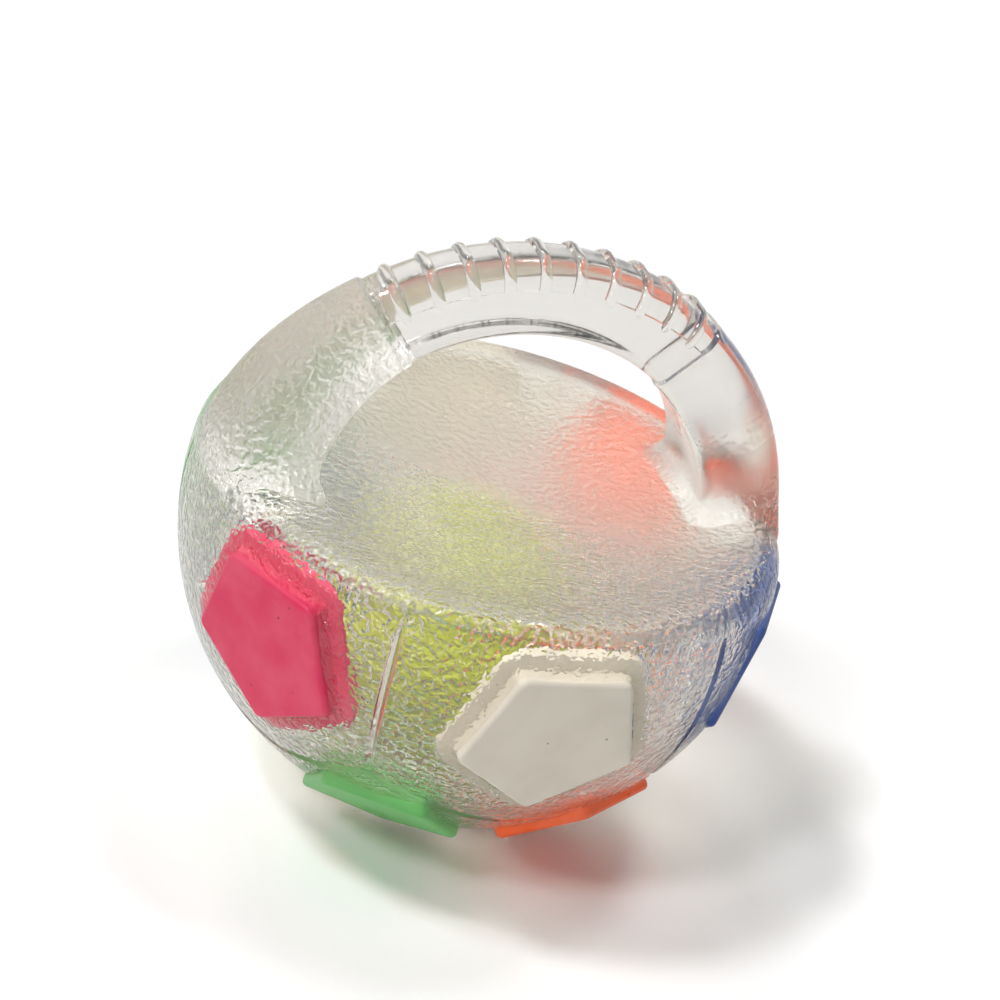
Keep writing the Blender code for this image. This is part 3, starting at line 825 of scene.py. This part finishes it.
def rounded(radius, corner, top, round_r, count):
    """Rings that roll from an upright side over on to a flat top."""
    rings = []
    for k in range(count + 1):
        turn = math.pi / 2 * k / count
        inset = round_r * (1 - math.cos(turn))
        ring = pentagon(grown(radius, -inset), max(corner - inset, corner / 3))
        rings.append(flat(ring, top - round_r * (1 - math.sin(turn))))
    return rings


def plug(row, place):
    """A flange, a step in to the neck, and a neck that rolls over on to the flat face."""
    radius = grown(PLUG_R[row], SNUG + BOND)
    growth = FLANGE_GROWTH[row] + GAP + BOND
    wide = grown(PLUG_R[row], growth)
    soft = PLUG_CORNER + growth
    root = pentagon(radius, PLUG_CORNER)
    seat = FLANGE_HEIGHT + GAP + BOND
    rings = [flat(pentagon(wide, soft), FLANGE_HEIGHT - FLANGE_THICK)]
    rings += rounded(wide, soft, seat, FLANGE_ROUND, FLANGE_STEPS)
    rings += [flat(root, seat + LEDGE_SLOPE)]
    rings += rounded(radius, PLUG_CORNER, FACE_HEIGHT[row], FACE_ROUND, FACE_STEPS)
    bm = bmesh.new()
    skin(bm, [[place @ p + BALL_CENTRE for p in ring] for ring in rings])
    bmesh.ops.recalc_face_normals(bm, faces=bm.faces)
    return bm


plug_finishes = {colour: plug_finish(colour) for colour in PLUG_COLOUR}
for row, names in (("belt", BELT), ("low", LOW)):
    for name, colour in names.items():
        piece = add_piece(name + "_rubber", plug(row, facing(plug_way(name))), plug_finishes[colour])
        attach(piece, "shell")
        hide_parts(name)

# Floor: a plain white sheet of matt paper, laid flat.
# The ball stands on it, and it takes the shadow and the coloured light that comes through the plugs.
FLOOR_SIZE = 6.0
FLOOR_WHITE = (0.97, 0.97, 0.97, 1)


def floor_paper():
    made, place = new_finish("floor_paper")
    place.node(
        "ShaderNodeBsdfPrincipled",
        {},
        {"Base Color": FLOOR_WHITE, "Roughness": 0.9, "Specular IOR Level": 0.0},
    ).surface()
    return made


bm = bmesh.new()
bmesh.ops.create_grid(bm, x_segments=2, y_segments=2, size=FLOOR_SIZE / 2)
floor = add_piece("floor", bm, floor_paper())

# Studio light: a pale room, darker overhead and to the front, which the camera itself sees as plain white.
# Six soft lamps stand round the ball, the two main ones high on the left.
# A lamp's row gives its name, its azimuth, elevation and spread in degrees, and its power.
ROOM_FILL = 0.08
ROOM_BACK = 0.6
ROOM_TOP = 0.5
ROOM_EDGE = (-0.55, 0.35)
ROOM_DARK = (0.66, 0.66, 0.66, 1)
ROOM_WHITE = (1, 1, 1, 1)
LAMPS = (
    ("lamp_left", -64, 46, 9, 0.90),
    ("lamp_left_back", -95, 58, 9, 1.65),
    ("lamp_back", -165, 56, 12, 0.42),
    ("lamp_top", 120, 73, 9, 0.52),
    ("lamp_low", -38, 14, 9, 0.36),
    ("lamp_front", -10, 35, 50, 0.20),
)


def studio_world():
    world = bpy.data.worlds.new("studio")
    world.use_nodes = True
    tree = world.node_tree
    tree.nodes.clear()
    way = Finish(tree.nodes.new("ShaderNodeTexCoord").outputs["Generated"])
    back = way.part("Y") * ROOM_BACK - way.part("Z") * ROOM_TOP
    pale = back.between(*ROOM_EDGE)
    path = tree.nodes.new("ShaderNodeLightPath")
    camera_ray = Finish(path.outputs["Is Camera Ray"])
    shown = (pale + camera_ray).mix(ROOM_DARK, ROOM_WHITE)
    seen = camera_ray + Finish(path.outputs["Is Glossy Ray"])
    seen = (seen + Finish(path.outputs["Is Transmission Ray"])).between(0, 1)
    fill = (ROOM_FILL, ROOM_FILL, ROOM_FILL, 1)
    light = way.node("ShaderNodeBackground", {}, {"Color": seen.mix(fill, shown)})
    way.node("ShaderNodeOutputWorld", {}, {"Surface": light})
    bpy.context.scene.world = world


studio_world()
for name, azimuth, elevation, spread, power in LAMPS:
    lamp = bpy.data.lights.new(name, "SUN")
    lamp.angle = math.radians(spread)
    lamp.energy = power
    stand = bpy.data.objects.new(name, lamp)
    way = on_ball(math.radians(azimuth), math.radians(elevation))
    stand.rotation_euler = way.to_track_quat("Z", "Y").to_euler()
    stand.location = way
    bpy.context.scene.collection.objects.link(stand)

# Camera: a long lens above the front left.
# It is rolled, because the ball leans in the picture and stands upright here.
LENS = 84.885
VIEW_AZIMUTH = math.radians(-24.575)
VIEW_ELEVATION = math.radians(28.566)
VIEW_ROLL = math.radians(15.921)
VIEW_OFFSET = Vector((0.004888, 0.006371, 0.589262))
back = on_ball(VIEW_AZIMUTH, VIEW_ELEVATION)
level = Vector((math.cos(VIEW_AZIMUTH), math.sin(VIEW_AZIMUTH), 0))
upright = back.cross(level)
right = level * math.cos(VIEW_ROLL) + upright * math.sin(VIEW_ROLL)
axes = Matrix((right, back.cross(right), back)).transposed()
eye = bpy.data.cameras.new("camera")
eye.lens = LENS
camera = bpy.data.objects.new("camera", eye)
camera.matrix_world = Matrix.Translation(BALL_CENTRE + axes @ VIEW_OFFSET) @ axes.to_4x4()
bpy.context.scene.collection.objects.link(camera)
bpy.context.scene.camera = camera
bpy.context.scene.view_settings.view_transform = "Standard"
